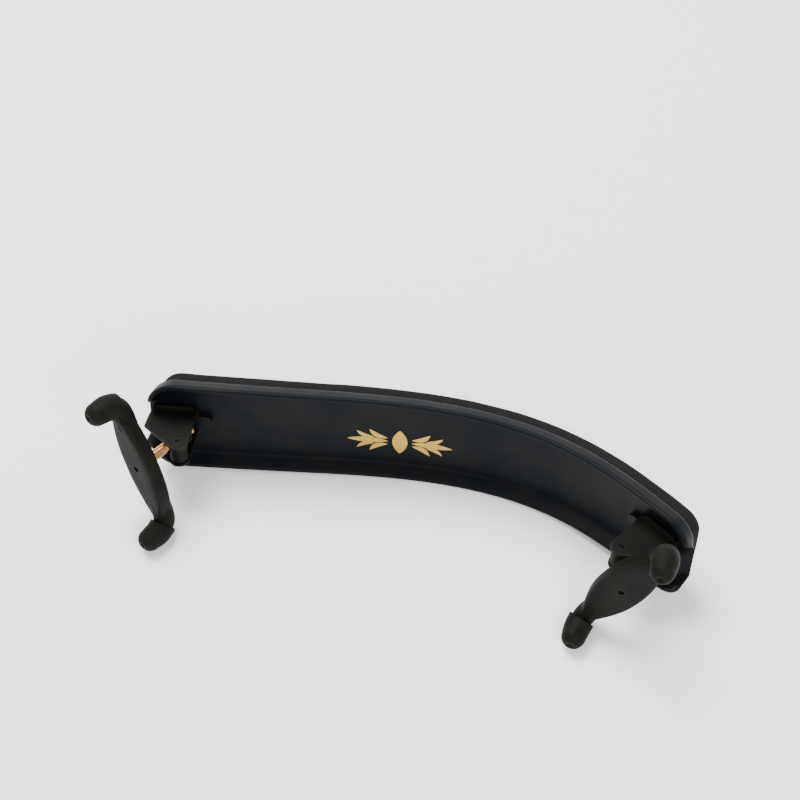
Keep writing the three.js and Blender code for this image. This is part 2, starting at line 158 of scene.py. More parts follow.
# ---- Moulded finishes ----
# The tray and the feet are glass-filled nylon: black, satin, with the fine grain of a spark-eroded
# mould. Handling polishes the grain off the edges, which look a little lighter.

BROAD_GRAIN, BROAD_SHARE = 1.6, 0.35
PLASTIC_SHINE = 0.075
GRAIN_DEPTH = 0.035
POLISH = 0.12                      # how much smoother a fully worn edge is


def node(tree, kind, **inputs):
    """A node with its inputs set by name; an underscore in a name stands for a space."""
    made = tree.nodes.new(kind)
    for name, value in inputs.items():
        made.inputs[name.replace("_", " ")].default_value = value
    return made


def math_node(tree, operation, first=None, second=None):
    """A Math node, with its first two inputs set where they are given."""
    made = node(tree, "ShaderNodeMath")
    made.operation = operation
    for socket, value in zip(made.inputs, (first, second)):
        if value is not None:
            socket.default_value = value
    return made


def texture(tree, kind, size=None, **inputs):
    """A texture in the piece's own coordinates, with features about this many millimetres across."""
    made = node(tree, kind, **inputs)
    if size:
        made.inputs["Scale"].default_value = 1 / (size * MM)
    tree.links.new(node(tree, "ShaderNodeTexCoord").outputs["Object"], made.inputs["Vector"])
    return made


def grain_group():
    """Mould grain, as a node group whose sizes are millimetres: fine noise with a broader one over
    it, and a slow mottle for colour and gloss."""
    tree = bpy.data.node_groups.new("mould_grain", "ShaderNodeTree")
    for label, default in (("Grain Size", 0.35), ("Mottle Size", 22.0)):
        socket = tree.interface.new_socket(label, in_out="INPUT", socket_type="NodeSocketFloat")
        socket.default_value = default
    for label in ("Height", "Mottle"):
        tree.interface.new_socket(label, in_out="OUTPUT", socket_type="NodeSocketFloat")
    given = tree.nodes.new("NodeGroupInput")
    out = tree.nodes.new("NodeGroupOutput")
    fine = texture(tree, "ShaderNodeTexNoise", Detail=3.0, Roughness=0.6)
    broad = texture(tree, "ShaderNodeTexNoise", BROAD_GRAIN, Detail=2.0)
    mottle = texture(tree, "ShaderNodeTexNoise", Detail=4.0, Roughness=0.55)
    both = math_node(tree, "MULTIPLY_ADD", second=BROAD_SHARE)
    link = tree.links.new
    for size, noise in (("Grain Size", fine), ("Mottle Size", mottle)):
        scale = math_node(tree, "DIVIDE", 1 / MM)
        link(given.outputs[size], scale.inputs[1])
        link(scale.outputs[0], noise.inputs["Scale"])
    link(broad.outputs[0], both.inputs[0])
    link(fine.outputs[0], both.inputs[2])
    link(both.outputs[0], out.inputs["Height"])
    link(mottle.outputs[0], out.inputs["Mottle"])
    return tree


GRAIN = grain_group()


def ramp(tree, low, high, low_colour, high_colour):
    """A mask turned into a colour that runs from one to the other between two levels."""
    made = tree.nodes.new("ShaderNodeValToRGB")
    made.color_ramp.elements[0].position = low
    made.color_ramp.elements[0].color = (*low_colour, 1)
    made.color_ramp.elements[1].position = high
    made.color_ramp.elements[1].color = (*high_colour, 1)
    return made


def spread(tree, low, high, to_low, to_high):
    """A value moved from one range to another."""
    limits = {"From Min": low, "From Max": high, "To Min": to_low, "To Max": to_high}
    return node(tree, "ShaderNodeMapRange", **limits)


def add_bump(tree, shader, height, strength, depth):
    """Bump on the whole surface, its depth in millimetres."""
    bump = node(tree, "ShaderNodeBump", Strength=strength, Distance=depth * MM)
    tree.links.new(height, bump.inputs["Height"])
    tree.links.new(bump.outputs[0], shader.inputs["Normal"])


def start_material(name):
    made = bpy.data.materials.new(name)
    made.use_nodes = True
    return made, made.node_tree, made.node_tree.nodes["Principled BSDF"]


def moulded(name, dark, light, worn, rough, grain_size):
    """Moulded plastic. dark and light are the mottle's two colours, worn is the handled edges'."""
    made, tree, shader = start_material(name)
    link = tree.links.new
    grain = tree.nodes.new("ShaderNodeGroup")
    grain.node_tree = GRAIN
    grain.inputs["Grain Size"].default_value = grain_size
    mottle = ramp(tree, 0.36, 0.66, dark, light)
    edge = tree.nodes.new("ShaderNodeAttribute")
    edge.attribute_name = "edge"
    worn_share = spread(tree, 0.15, 0.9, 0, 0.75)
    breaks = spread(tree, 0.3, 0.7, 0.45, 1)
    share = math_node(tree, "MULTIPLY")
    colour = tree.nodes.new("ShaderNodeMix")
    colour.data_type = "RGBA"
    colour.inputs["B"].default_value = (*worn, 1)
    gloss = spread(tree, 0.3, 0.7, rough + 0.05, rough - 0.05)
    polish = math_node(tree, "MULTIPLY_ADD", second=-POLISH)
    link(grain.outputs["Mottle"], mottle.inputs[0])
    link(edge.outputs["Fac"], worn_share.inputs["Value"])
    link(grain.outputs["Mottle"], breaks.inputs["Value"])
    link(worn_share.outputs[0], share.inputs[0])
    link(breaks.outputs[0], share.inputs[1])
    link(share.outputs[0], colour.inputs["Factor"])
    link(mottle.outputs[0], colour.inputs["A"])
    link(colour.outputs["Result"], shader.inputs["Base Color"])
    link(grain.outputs["Mottle"], gloss.inputs["Value"])
    link(share.outputs[0], polish.inputs[0])
    link(gloss.outputs[0], polish.inputs[2])
    link(polish.outputs[0], shader.inputs["Roughness"])
    add_bump(tree, shader, grain.outputs["Height"], 0.6, GRAIN_DEPTH)
    shader.inputs["Specular IOR Level"].default_value = PLASTIC_SHINE
    return made


TRAY_FINISH = moulded(
    "tray_plastic",
    dark=(0.0018, 0.0029, 0.0052),
    light=(0.0040, 0.0046, 0.0050),
    worn=(0.0125, 0.0128, 0.0125),
    rough=0.46,
    grain_size=0.4,
)
FOOT_FINISH = moulded(
    "foot_plastic",
    dark=(0.0018, 0.0020, 0.0015),
    light=(0.0044, 0.0042, 0.0029),
    worn=(0.0125, 0.0118, 0.0085),
    rough=0.58,
    grain_size=0.34,
)


# ---- The moulded tray ----
# One injection moulding: a flat floor, 2.6 mm thick, in a flared rim that dips to a mouth at each
# end for the foot. A slot in each end of the floor lets the foot's key slide.

CHEST_END, SHOULDER_END = -124, 131
CHEST_WIDTH, SHOULDER_WIDTH = 53.5, 46.3
CHEST_DROP, SHOULDER_DROP = 2.25, 1.5      # how far its middle lies below the feet, at each end
SHELL = 2.6
RIM_HEIGHT = 5.6
TRAY_CORNER = 13
MOUTH_HALF, MOUTH_SLOPE = 11.5, 5
LEAST_CORNER = 0.5
PLAY = 0.3
KEY_FROM, KEY_TO, KEY_HALF = -8.4, 1.4, 2.8
SLIDE_INWARD, SLIDE_OUTWARD = 5, 3
SHARP_TRAY = 35                    # bends of fewer degrees than this are shaded smooth


def round_path(corners, steps):
    """A path through corners [x, y, radius]: straight runs joined by arcs that touch both sides."""
    points = [np.array(corners[0][:2], float)[None]]
    for before, here, after in zip(corners, corners[1:], corners[2:]):
        corner = np.array(here[:2], float)
        a, b = unit(np.array(before[:2]) - corner), unit(np.array(after[:2]) - corner)
        half = math.acos(np.clip(a @ b, -1, 1)) / 2
        radius = here[2]
        centre = corner + unit(a + b) * radius / math.sin(half)
        first, last = corner + a * radius / math.tan(half), corner + b * radius / math.tan(half)
        start = math.atan2(*(first - centre)[::-1])
        turn = math.remainder(math.atan2(*(last - centre)[::-1]) - start, 2 * math.pi)
        angle = start + turn * np.linspace(0, 1, steps + 1)
        points.append(centre + radius * np.stack([np.cos(angle), np.sin(angle)], -1))
    points.append(np.array(corners[-1][:2], float)[None])
    return np.concatenate(points)


def strip(inset, corner, rows, corner_steps):
    """Stations along a strip with rounded corners, whose edge lies inset inside the tray's, and the
    strip's half width at each."""
    corner = max(corner, LEAST_CORNER)
    first, last = CHEST_END + inset + corner, SHOULDER_END - inset - corner
    turn = np.linspace(0, math.pi / 2, corner_steps + 1)
    bulge, drop = corner * np.sin(turn), corner * (1 - np.cos(turn))
    flat = np.linspace(first, last, rows + 1)[1:-1]
    s = np.concatenate([first - bulge[::-1], flat, last + bulge])
    fall = np.concatenate([drop[::-1], np.zeros(len(flat)), drop])
    width = np.interp(np.clip(s, first, last), (CHEST_END, SHOULDER_END), (CHEST_WIDTH, SHOULDER_WIDTH))
    return s, width / 2 - inset - fall


def border(columns, across):
    """Grid positions round the edge of a columns x (across + 1) grid, once round."""
    upper = [(i, 0) for i in range(columns)]
    far = [(columns - 1, j) for j in range(1, across)]
    lower = [(i, across) for i in range(columns - 1, -1, -1)]
    near = [(0, j) for j in range(across - 1, 0, -1)]
    return np.array(upper + far + lower + near).T


def quads(grid):
    """Faces of a grid of vertex numbers."""
    a, b, c, d = grid[:-1, :-1], grid[1:, :-1], grid[1:, 1:], grid[:-1, 1:]
    return np.stack([a, b, c, d], -1).reshape(-1, 4)


def strip_shell(section, corner, rows=124, corner_steps=12, across=24):
    """A closed strip skinned over a section of [inset, height]: a grid lid on its first and last
    outline, and rings between. Returns s, y, n of each vertex, and the faces."""
    outlines = [strip(inset, corner - inset, rows, corner_steps) for inset, _ in section]
    columns = len(outlines[0][0])
    edge_i, edge_j = border(columns, across)
    share = np.linspace(1, -1, across + 1)
    lids = []
    for (s, half), (_, n) in ((outlines[0], section[0]), (outlines[-1], section[-1])):
        stations = np.repeat(s[:, None], across + 1, axis=1)
        lids.append(np.stack([stations, half[:, None] * share, np.full(stations.shape, n)], -1))
    rings = [
        np.stack([s[edge_i], half[edge_i] * share[edge_j], np.full(len(edge_i), n)], -1)
        for (s, half), (_, n) in zip(outlines[1:-1], section[1:-1])
    ]
    lid_size = columns * (across + 1)
    front = np.arange(lid_size).reshape(columns, across + 1)
    back = front + lid_size
    middle = 2 * lid_size + np.arange(len(rings) * len(edge_i)).reshape(len(rings), -1)
    around = np.vstack([front[edge_i, edge_j], middle, back[edge_i, edge_j]])
    around = np.hstack([around, around[:, :1]])
    faces = np.vstack([quads(front), quads(back)[:, ::-1], quads(around)])
    points = np.vstack([lids[0].reshape(-1, 3), lids[1].reshape(-1, 3), *rings])
    return points, faces


def make_piece(name, points, faces, finish, smooth_below=SHARP_TRAY):
    """A mesh object from points in metres, with its faces turned outwards."""
    mesh = bpy.data.meshes.new(name)
    mesh.from_pydata(points.tolist(), [], [list(map(int, face)) for face in faces])
    turn_out(mesh)
    mesh.materials.append(finish)
    piece = bpy.data.objects.new(name, mesh)
    bpy.context.scene.collection.objects.link(piece)
    smooth(piece, smooth_below)
    return piece


def turn_out(mesh):
    shell = bmesh.new()
    shell.from_mesh(mesh)
    bmesh.ops.recalc_face_normals(shell, faces=shell.faces)
    shell.to_mesh(mesh)
    shell.free()


def smooth(piece, below):
    piece.data.shade_smooth()
    piece.data.set_sharp_from_angle(angle=math.radians(below))


def settle(piece):
    """Puts the result of a piece's modifiers into its mesh."""
    shown = piece.evaluated_get(bpy.context.evaluated_depsgraph_get())
    mesh = bpy.data.meshes.new_from_object(shown)
    piece.modifiers.clear()
    piece.data = mesh
    return piece


def carve(piece, *tools):
    """Cuts closed tool shapes (points in metres, faces) out of a piece."""
    cutters = []
    for points, faces in tools:
        cutter = make_piece("cutter", points, faces, piece.data.materials[0])
        cut = piece.modifiers.new("cut", "BOOLEAN")
        cut.operation = "DIFFERENCE"
        cut.solver = "EXACT"
        cut.object = cutter
        cutters.append(cutter)
    settle(piece)
    for cutter in cutters:
        bpy.data.objects.remove(cutter)
    return piece


def prism(outline, low, high):
    """A closed outline [x, y] raised from low to high, with one face on each end."""
    count = len(outline)
    points = np.vstack([np.column_stack([outline, np.full(count, z)]) for z in (low, high)])
    wall = quads(np.vstack([np.append(np.arange(count), 0), np.append(np.arange(count), 0) + count]))
    return points, [list(range(count - 1, -1, -1)), list(range(count, 2 * count)), *wall.tolist()]


def stadium(start, end, half, steps=16):
    """A bar's outline with round ends, along x."""
    angle = np.linspace(-math.pi / 2, math.pi / 2, steps + 1)
    cap = half * np.stack([np.cos(angle), np.sin(angle)], -1)
    return np.vstack([cap + [end - half, 0], -cap + [start + half, 0]])


def lowered(s, y):
    """The feet's y of a point whose y is measured from the strip's own middle."""
    return y - np.interp(s, (CHEST_END, SHOULDER_END), (CHEST_DROP, SHOULDER_DROP))


def rim_share(s, y):
    """The rim's height as a share: 1, but 0 in the mouth in the middle of each end."""
    t = np.clip((np.abs(y) - MOUTH_HALF) / MOUTH_SLOPE + 0.5, 0, 1)
    at_end = (s < CHEST_END + TRAY_CORNER) | (s > SHOULDER_END - TRAY_CORNER)
    return np.where(at_end, t * t * (3 - 2 * t), 1)


# From the floor's front, over the rim, to the floor's back: inset, height, and radius of the corner.
TRAY_SECTION = round_path(
    [
        [9.0, 0, 0],
        [5.1, 0, 1.5],
        [2.3, RIM_HEIGHT, 0.9],
        [0.0, RIM_HEIGHT - 0.15, 0.95],
        [0.35, RIM_HEIGHT - 1.9, 4.0],
        [2.3, -1.4, 3.0],
        [4.6, -SHELL, 1.2],
        [9.0, -SHELL, 0],
    ],
    8,
)

tray_points, tray_faces = strip_shell(TRAY_SECTION, TRAY_CORNER)
s, y, n = tray_points.T
y = lowered(s, y)
n = np.where(n > 0, n * rim_share(s, y), n)
tray = make_piece("moulded_tray", moved(bent(s, y, n), REST), tray_faces, TRAY_FINISH)


def carve_slots(piece, start, end, half, low):
    """Cuts room in a piece, at both feet, for something from start to end to slide its whole way."""
    outline = stadium(start - SLIDE_INWARD, end + SLIDE_OUTWARD, half)
    points, faces = prism(outline, low, SHELL)
    carve(piece, *[(moved(points, FEET[side]), faces) for side in SIDES])


carve_slots(tray, KEY_FROM - PLAY, KEY_TO + PLAY, KEY_HALF + PLAY, -2 * SHELL)


def mark_edges(piece, rounds=2, gain=0.3):
    """Writes the attribute "edge": 1 where the surface bends outwards within a millimetre, 0 on flats.
    It is how far a vertex stands proud of the mean of its neighbours, over their distance squared."""
    mesh = piece.data
    count = len(mesh.vertices)
    co = np.empty(count * 3)
    mesh.vertices.foreach_get("co", co)
    normal = np.empty(count * 3)
    mesh.vertices.foreach_get("normal", normal)
    co, normal = co.reshape(-1, 3), normal.reshape(-1, 3)
    ends = np.empty(len(mesh.edges) * 2, np.int64)
    mesh.edges.foreach_get("vertices", ends)
    a, b = ends.reshape(-1, 2).T
    near = np.bincount(a, minlength=count) + np.bincount(b, minlength=count)

    def mean_of_neighbours(values):
        total = np.bincount(a, values[b], count) + np.bincount(b, values[a], count)
        return total / np.maximum(near, 1)

    middle = np.stack([mean_of_neighbours(co[:, k]) for k in range(3)], -1)
    reach = np.linalg.norm(co[a] - co[b], axis=1)
    step = (np.bincount(a, reach, count) + np.bincount(b, reach, count)) / np.maximum(near, 1)
    proud = ((co - middle) * normal).sum(1) / np.maximum(step, 1e-6) ** 2 * MM
    for _ in range(rounds):
        proud = (proud + mean_of_neighbours(proud)) / 2
    attribute = mesh.attributes.new("edge", "FLOAT", "POINT")
    attribute.data.foreach_set("value", np.clip(proud / gain, 0, 1).astype(np.float32))
    return piece


mark_edges(tray)
smooth(tray, SHARP_TRAY)
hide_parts("tray")
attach(tray, "tray_and_pad")


# ---- The foam pad ----
# Closed-cell black foam, 7 mm thick, die cut and glued to the back of the tray. Its outer edge is
# rolled soft, its back is a little crowned, and it is hollowed behind the two slide shoes.

PAD_INSET, PAD_CORNER = 5.2, 9
PAD_THICKNESS, PAD_CROWN = 7, 0.8
PAD_FRONT = -SHELL - PLAY
PAD_BACK = PAD_FRONT - PAD_THICKNESS
PAD_FACES = 20, 22                 # how far in the middles of its front and back begin
CROWN_HALF = 17
RIPPLE = 0.09
SHOE_FROM, SHOE_TO, SHOE_HALF, SHOE_DEEP = -11, 4, 6, 5
POCKET_ENDS, POCKET_SIDES = 0.6, 0.8
SHARP_SOFT = 60                    # the same, on soft pieces


def foam(name, dark, light, cell_size):
    """Foam: round cells of one size with a few larger, their hollows painted darkest as painted shade, with little
    gloss.
    """
    made, tree, shader = start_material(name)
    link = tree.links.new
    cells = texture(tree, "ShaderNodeTexVoronoi", cell_size)
    large = texture(tree, "ShaderNodeTexVoronoi", 2.7 * cell_size)
    cloud = texture(tree, "ShaderNodeTexNoise", 14, Detail=4.0)
    pit_depth_and_shade = math_node(tree, "MULTIPLY_ADD", second=0.5)
    # Painted shade: the colour runs from dark in the cells' hollows to light on their walls.
    shade = ramp(tree, 0.12, 0.95, dark, light)
    tone = tree.nodes.new("ShaderNodeMix")
    tone.data_type = "RGBA"
    tone.blend_type = "MULTIPLY"
    tone.inputs["Factor"].default_value = 0.45
    link(large.outputs["Distance"], pit_depth_and_shade.inputs[0])
    link(cells.outputs["Distance"], pit_depth_and_shade.inputs[2])
    link(pit_depth_and_shade.outputs[0], shade.inputs[0])
    link(shade.outputs[0], tone.inputs["A"])
    link(cloud.outputs["Color"], tone.inputs["B"])
    link(tone.outputs["Result"], shader.inputs["Base Color"])
    add_bump(tree, shader, pit_depth_and_shade.outputs[0], 0.8, 0.12)
    shader.inputs["Roughness"].default_value = 0.95
    shader.inputs["Specular IOR Level"].default_value = 0.12
    return made


FOAM_FINISH = foam("pad_foam", (0.0035, 0.0035, 0.0038), (0.012, 0.0122, 0.0125), 0.32)
PAD_SECTION = round_path(
    [
        [PAD_FACES[0], PAD_FRONT, 0],
        [PAD_INSET, PAD_FRONT, 0.5],
        [PAD_INSET + 0.3, PAD_BACK, 3.2],
        [PAD_FACES[1], PAD_BACK, 0],
    ],
    9,
)
pad_points, pad_faces = strip_shell(PAD_SECTION, PAD_INSET + PAD_CORNER)

# Crown and slow ripples grow from nothing at the glued front to their full size at the back, and the
# outer edge wanders by a few hundredths.
s, y, n = pad_points.T
depth = np.clip((PAD_FRONT - n) / PAD_THICKNESS, 0, 1)
middle = np.clip(1 - (y / CROWN_HALF) ** 2, 0, 1)
waves = np.sin(s / 9.3 + 1.1) * np.sin(y / 6.1 + 0.4) + 0.6 * np.sin(s / 4.7) * np.cos(y / 3.9 + s / 21)
n = n - depth * (PAD_CROWN * middle + RIPPLE * waves)
y = y * (1 + 0.003 * depth * np.sin(s / 6.3) + 0.002 * np.sin(s / 2.9 + 2))
pad = make_piece("foam_shoulder_pad", moved(bent(s, lowered(s, y), n), REST), pad_faces, FOAM_FINISH)
pocket_low = -SHELL - SHOE_DEEP
carve_slots(pad, SHOE_FROM - POCKET_ENDS, SHOE_TO + POCKET_ENDS, SHOE_HALF + POCKET_SIDES, pocket_low)
smooth(pad, SHARP_SOFT)
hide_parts("foam_pad")
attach(pad, "tray_and_pad")


# ---- The stamped ornament ----
# A plain leaf spray in gold foil, hot stamped on the tray's floor. The foil is a film that follows
# the bow; here it stands a few hundredths of a millimetre proud.

SPRAY_CENTRE = (-13.5, -7.5)
FOIL_LOW, FOIL_HIGH = 0.01, 0.06
# A leaf is its start, end, bow and half width. The last two leaves stand in each quarter.
MIDDLE_LEAF = (0, -7.6), (0, 7.6), 0, 3.4
SIDE_LEAF = (5.2, 0), (23.5, 0), 0, 1.7
QUARTER_LEAVES = [((5.4, 1.9), (13.5, 6.9), -1.3, 1.35), ((11.6, 2.1), (19.2, 5.6), -1.1, 1.05)]


def leaf(start, end, bow, width, steps=22, across=6):
    """A grid over a leaf. Its middle line bows sideways by a half sine, and its half width is a half
    sine to the power 0.8."""
    start, end = np.array(start, float), np.array(end, float)
    t = np.linspace(0, 1, steps + 1)[:, None]
    side = unit([-(end - start)[1], (end - start)[0]])
    spine = start + (end - start) * t + side * bow * np.sin(math.pi * t)
    half = width * np.sin(math.pi * np.clip(t, 0.001, 0.999)) ** 0.8
    share = np.linspace(-1, 1, across + 1)
    return spine[:, None, :] + side * (half * share)[..., None]


def film(sheets, low, high):
    """Closed thin shells from grids of [s, y]: each grid at two heights, with a wall round it."""
    points, faces, count = [], [], 0
    for sheet in sheets:
        rows, columns = sheet.shape[:2]
        flat = sheet.reshape(-1, 2)
        for height in (low, high):
            points.append(np.column_stack([flat, np.full(len(flat), height)]))
        bottom = count + np.arange(rows * columns).reshape(rows, columns)
        top = bottom + rows * columns
        i, j = border(rows, columns - 1)
        wall = np.stack([np.append(bottom[i, j], bottom[0, 0]), np.append(top[i, j], top[0, 0])])
        faces += [quads(bottom), quads(top)[:, ::-1], quads(wall)]
        count += 2 * rows * columns
    return np.vstack(points), np.vstack(faces)


def weld(piece, apart=0.004):
    """Merges points nearer than apart, in millimetres, and turns all faces outwards."""
    shell = bmesh.new()
    shell.from_mesh(piece.data)
    bmesh.ops.remove_doubles(shell, verts=shell.verts, dist=apart * MM)
    bmesh.ops.dissolve_degenerate(shell, edges=shell.edges, dist=apart * MM / 4)
    bmesh.ops.recalc_face_normals(shell, faces=shell.faces)
    shell.to_mesh(piece.data)
    shell.free()
    return piece


def paint(tree, shader, mask, dark, light, rough, levels=(0.3, 0.7)):
    """Colour and roughness that run together with a mask. rough is the roughness where the mask is
    low and where it is high; levels are where the colour's run starts and ends."""
    tone = ramp(tree, *levels, dark, light)
    gloss = spread(tree, 0.3, 0.7, *rough)
    tree.links.new(mask, tone.inputs[0])
    tree.links.new(mask, gloss.inputs["Value"])
    tree.links.new(tone.outputs[0], shader.inputs["Base Color"])
    tree.links.new(gloss.outputs[0], shader.inputs["Roughness"])


def foil(name, colour):
    """Metal foil with the plastic's grain showing faintly through it."""
    made, tree, shader = start_material(name)
    grain = tree.nodes.new("ShaderNodeGroup")
    grain.node_tree = GRAIN
    paint(tree, shader, grain.outputs["Mottle"], [0.8 * c for c in colour], colour, (0.42, 0.3))
    add_bump(tree, shader, grain.outputs["Height"], 0.35, 0.012)
    shader.inputs["Metallic"].default_value = 0.75
    return made


FOIL_FINISH = foil("gold_foil", (0.50, 0.345, 0.07))
spray = [leaf(*MIDDLE_LEAF)]
for way in (-1, 1):
    start, end, bow, width = SIDE_LEAF
    spray.append(leaf(np.multiply(start, way), np.multiply(end, way), bow, width))
    for up in (-1, 1):
        for start, end, bow, width in QUARTER_LEAVES:
            flip = way, up
            spray.append(leaf(np.multiply(start, flip), np.multiply(end, flip), way * up * bow, width))
film_points, film_faces = film(spray, FOIL_LOW, FOIL_HIGH)
s, y, n = film_points.T
ornament_points = moved(bent(s + SPRAY_CENTRE[0], y + SPRAY_CENTRE[1], n), REST)
ornament = weld(make_piece("foil_leaf_spray", ornament_points, film_faces, FOIL_FINISH))
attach(ornament, "tray_and_pad")


# ---- The slide bases ----
# Each base is one moulding: a sole on the tray's floor, a key that runs in the floor's slot, and two
# tall cheeks that hold the roll pin. Its inner corners are filleted as a mould's are.

SOLE_FROM, SOLE_TO, SOLE_HALF = -8, 12.5, 7.8
SOLE_LOW, SOLE_HIGH, SOLE_CORNER = 0.4, 2.3, 3
CHEEK_INNER, CHEEK_THICK, CHEEK_ROUND = 4.75, 1.75, 4.6
CHEEK_DRAFT = 0.5                  # how much thinner a cheek is at the pin than at the sole
CHEEK_FOOT = [[-7.6, 0.9], [12.4, 0.9], [14.4, 12.4]]
CROWN_FROM, CROWN_TO = 62, 176     # the turn of its round top, in degrees
KEY_TOP = SOLE_HIGH - 0.6
PIN_HOLE, PIN_HOLE_HALF = 1.25, 9
SHOE_SCREW_AT, SHOE_SCREW_HOLE = -3.5, 1.3
SHARP_MOULDING = 40


def fuse(name, parts, finish, voxel=0.28, rounds=4):
    """One moulding from overlapping closed parts: skinned with a voxel remesh, which fillets their
    joints, then smoothed. It is made in the piece's own axes, so that flats lie along the voxels."""
    points, faces, count = [], [], 0
    for part_points, part_faces in parts:
        points.append(part_points * MM)
        faces += [[count + int(i) for i in face] for face in part_faces]
        count += len(part_points)
    piece = make_piece(name, np.vstack(points), faces, finish)
    skin = piece.modifiers.new("skin", "REMESH")
    skin.mode = "VOXEL"
    skin.voxel_size = voxel * MM
    ease = piece.modifiers.new("ease", "SMOOTH")
    ease.factor = 0.5
    ease.iterations = rounds
    settle(piece)
    return piece


def bore(piece, *tools):
    """Cuts tools given in the piece's own millimetres, before it is put in its place."""
    return carve(piece, *[(points * MM, faces) for points, faces in tools])


def put(piece, where):
    """Takes a finished mesh from its own axes to its place in the object."""
    metres = where.copy()
    metres[:3, 3] *= MM
    piece.data.transform(Matrix(metres.tolist()))
    mark_edges(piece, rounds=8, gain=0.35)
    smooth(piece, SHARP_MOULDING)


def bar(radius, low, high, sides=40, lip=0.0):
    """A round bar along z, with its ends bevelled by lip."""
    angle = np.linspace(0, 2 * math.pi, sides, endpoint=False)
    ring = np.stack([np.cos(angle), np.sin(angle)], -1)
    levels = [(radius, low + lip), (radius, high - lip)]
    if lip:
        levels = [(radius - lip, low), *levels, (radius - lip, high)]
    points = np.vstack([np.column_stack([ring * r, np.full(sides, z)]) for r, z in levels])
    rings = np.arange(len(points)).reshape(len(levels), sides)
    faces = quads(np.hstack([rings, rings[:, :1]])).tolist()
    return points, [rings[0].tolist()[::-1], rings[-1].tolist(), *faces]


def across_y(part):
    """A part made along z, laid along y: its y and z change places."""
    points, faces = part
    return np.column_stack([points[:, 0], points[:, 2], points[:, 1]]), faces


def shifted(part, x=0.0, y=0.0, z=0.0):
    points, faces = part
    return points + np.array([x, y, z]), faces


def cheek(side):
    """One cheek. Its outline in x and z is a foot in the sole, a nose, and a crown round the pin."""
    angle = np.radians(np.linspace(CROWN_FROM, CROWN_TO, 24))
    crown = CHEEK_ROUND * np.stack([np.cos(angle), np.sin(angle)], -1) + [PIN_BACK, PIN_UP]
    outline = np.vstack([CHEEK_FOOT, crown])
    inner, outer = side * CHEEK_INNER, side * (CHEEK_INNER + CHEEK_THICK)
    points, faces = across_y(prism(outline, min(inner, outer), max(inner, outer)))
    outside = np.abs(points[:, 1]) > CHEEK_INNER + CHEEK_THICK / 2
    points[:, 1] -= side * outside * CHEEK_DRAFT * points[:, 2] / PIN_UP
    return points, faces


def sole():
    """A plate with its corners cut off."""
    c = SOLE_CORNER
    half = SOLE_HALF
    outline = np.array([
        [SOLE_FROM + c, -half], [SOLE_TO - c, -half], [SOLE_TO, -half + c], [SOLE_TO, half - c],
        [SOLE_TO - c, half], [SOLE_FROM + c, half], [SOLE_FROM, half - c], [SOLE_FROM, -half + c],
    ])
    return prism(outline, SOLE_LOW, SOLE_HIGH)


for side in SIDES:
    key = prism(stadium(KEY_FROM, KEY_TO, KEY_HALF), PAD_FRONT, KEY_TOP)
    base = fuse(side + "_moulded_base", [sole(), cheek(-1), cheek(1), key], FOOT_FINISH)
    pin_hole = shifted(across_y(bar(PIN_HOLE, -PIN_HOLE_HALF, PIN_HOLE_HALF)), x=PIN_BACK, z=PIN_UP)
    screw_hole = shifted(bar(SHOE_SCREW_HOLE, PAD_FRONT - 1, KEY_TOP), x=SHOE_SCREW_AT)
    put(bore(base, pin_hole, screw_hole), FEET[side])
    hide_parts(side + "_slide_base")
    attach(base, side + "_foot")


# ---- The roll pins ----
# A spring-steel strip rolled into a tube with an open seam, blackened, and driven through the
# cheeks and the bracket's barrel a little below flush.

PIN_RADIUS, PIN_BORE, PIN_HALF = 1.0, 0.45, 5.75
PIN_SEAM = 14                      # half the seam's opening, in degrees
PIN_LEAD, PIN_TIP = 0.45, 0.82     # length of each drawn-in end, and its share of the radius


def steel(name, colour, rough):
    """Plain steel with a fine grain in its gloss."""
    made, tree, shader = start_material(name)
    grain = texture(tree, "ShaderNodeTexNoise", 0.5, Detail=3.0)
    dark = [0.75 * c for c in colour]
    paint(tree, shader, grain.outputs["Fac"], dark, colour, (rough - 0.08, rough + 0.1))
    shader.inputs["Metallic"].default_value = 1
    return made


PIN_FINISH = steel("blackened_steel", (0.02, 0.02, 0.021), 0.5)
ZINC_FINISH = steel("zinc_steel", (0.46, 0.46, 0.47), 0.32)


def roll_pin():
    """A C-shaped section carried along y: outer arc, then inner arc back, with the ends drawn in."""
    turn = np.radians(np.linspace(PIN_SEAM, 360 - PIN_SEAM, 44))
    full = PIN_HALF - PIN_LEAD
    levels = [(-PIN_HALF, PIN_TIP), (-full, 1), (full, 1), (PIN_HALF, PIN_TIP)]
    loops = []
    for along, share in levels:
        outer = PIN_RADIUS * share * np.stack([np.cos(turn), np.sin(turn)], -1)
        inner = PIN_BORE * np.stack([np.cos(turn[::-1]), np.sin(turn[::-1])], -1)
        loop = np.vstack([outer, inner])
        loops.append(np.column_stack([loop[:, 0], np.full(len(loop), along), loop[:, 1]]))
    count = 2 * len(turn)
    rings = np.arange(count * len(levels)).reshape(len(levels), count)
    faces = [quads(np.hstack([rings, rings[:, :1]]))]
    for ring in (rings[0], rings[-1]):
        outer, inner = ring[: len(turn)], ring[len(turn):][::-1]
        faces.append(quads(np.stack([outer, inner])))
    return np.vstack(loops), np.vstack(faces)


for side in SIDES:
    points, faces = roll_pin()
    spot = moved(points, BRACKETS[side])
    pin = make_piece(side + "_roll_pin", spot, faces, PIN_FINISH, smooth_below=50)
    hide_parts(side + "_hinge_pin")
    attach(pin, side + "_foot")


# ---- The slide shoes and their screws ----
# Behind the floor a shoe and a pan-head screw clamp each base. They sit in the pad's hollow.

for side in SIDES:
    for name, finish in ((side + "_slide_shoe", FOOT_FINISH), (side + "_shoe_screw", ZINC_FINISH)):
        frame["nodes"][name].material_slots[0].material = finish


# ---- The brackets ----
# The bracket folds on the pin: a barrel between the cheeks, and beside it a boss with a brass
# insert for the screw, joined by a web.

